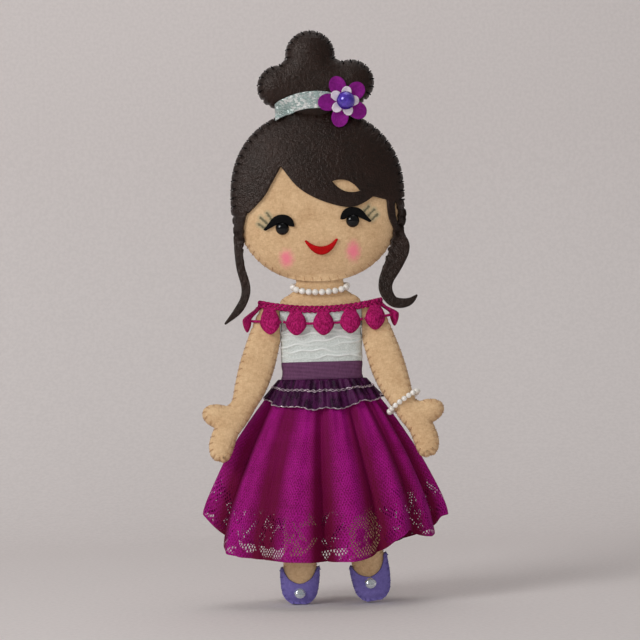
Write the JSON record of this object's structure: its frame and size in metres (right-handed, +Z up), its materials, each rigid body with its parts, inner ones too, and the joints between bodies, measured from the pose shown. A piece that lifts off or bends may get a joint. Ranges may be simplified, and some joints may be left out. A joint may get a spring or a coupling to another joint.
{
  "type": "felt doll",
  "caption": "Flat stuffed girl doll of hand-sewn felt with bun, face, bead jewellery, pompom trim and gathered lace skirt; head nods, arms and legs swing at sewn joints.",
  "frame": {"origin": "on the ground under the middle of the doll's bounding box, with the soles at Z = 0", "axes": "+Z runs up from the soles to the bun; the face looks along -Y; +X is the viewer's right"},
  "size_m": [0.1285, 0.0713, 0.3051],
  "materials": {
    "skin_felt": "matte",
    "hair_felt": "matte",
    "fibre_filling": "matte",
    "silver_ribbon": "satin",
    "magenta_felt": "matte",
    "pale_lilac_felt": "matte",
    "violet_pearl": "gloss",
    "black_bead": "gloss",
    "black_felt": "matte",
    "red_felt": "matte",
    "white_pearl": "gloss",
    "white_voile": "matte",
    "raspberry_yarn": "matte",
    "mauve_grosgrain": "matte",
    "indigo_ribbon": "satin",
    "magenta_lace": "matte",
    "violet_felt": "matte",
    "rhinestone": "gloss"
  },
  "bodies": {
    "torso": {"torso_front": "skin_felt", "torso_back": "skin_felt", "torso_filling": "fibre_filling", "necklace": "white_pearl", "blouse": "white_voile", "trim_front": "raspberry_yarn", "trim_back": "raspberry_yarn", "belt": "mauve_grosgrain", "ruffle": "indigo_ribbon", "skirt": "magenta_lace"},
    "head": {"head_front": "skin_felt", "head_back": "skin_felt", "head_filling": "fibre_filling", "hair_front": "hair_felt", "hair_back": "hair_felt", "side_lock_left": "hair_felt", "side_lock_right": "hair_felt", "bun_front": "hair_felt", "bun_back": "hair_felt", "bun_filling": "fibre_filling", "hairband": "silver_ribbon", "flower_outer": "magenta_felt", "flower_inner": "pale_lilac_felt", "flower_pearl": "violet_pearl", "eye_left": "black_bead", "eye_right": "black_bead", "lid_left": "black_felt", "lid_right": "black_felt", "mouth": "red_felt"},
    "arm_left": {"arm_left_front": "skin_felt", "arm_left_back": "skin_felt", "arm_left_filling": "fibre_filling", "trim_left": "raspberry_yarn"},
    "arm_right": {"arm_right_front": "skin_felt", "arm_right_back": "skin_felt", "arm_right_filling": "fibre_filling", "trim_right": "raspberry_yarn", "bracelet": "white_pearl"},
    "leg_left": {"leg_left_front": "skin_felt", "leg_left_back": "skin_felt", "leg_left_filling": "fibre_filling", "shoe_left_front": "violet_felt", "shoe_left_back": "violet_felt", "stone_left": "rhinestone"},
    "leg_right": {"leg_right_front": "skin_felt", "leg_right_back": "skin_felt", "leg_right_filling": "fibre_filling", "shoe_right_front": "violet_felt", "shoe_right_back": "violet_felt", "stone_right": "rhinestone"}
  },
  "joints": [
    {"name": "neck_nod", "type": "hinge", "parent": "torso", "child": "head", "pos_m": [0, 0, 0.1765], "axis": [1, 0, 0], "range_deg": [-8, 8], "stiffness_Nm_per_rad": 0.12},
    {"name": "shoulder_left", "type": "hinge", "parent": "torso", "child": "arm_left", "pos_m": [-0.02175, 0, 0.155], "axis": [-1, 0, 0], "range_deg": [0, 35]},
    {"name": "shoulder_right", "type": "hinge", "parent": "torso", "child": "arm_right", "pos_m": [0.02175, 0, 0.155], "axis": [-1, 0, 0], "range_deg": [0, 35]},
    {"name": "hip_left", "type": "hinge", "parent": "torso", "child": "leg_left", "pos_m": [-0.012, 0, 0.092], "axis": [-0.9994, 0, 0.0349], "range_deg": [-12, 14]},
    {"name": "hip_right", "type": "hinge", "parent": "torso", "child": "leg_right", "pos_m": [0.012, 0, 0.092], "axis": [-0.9903, 0, -0.1392], "range_deg": [-12, 14]}
  ]
}
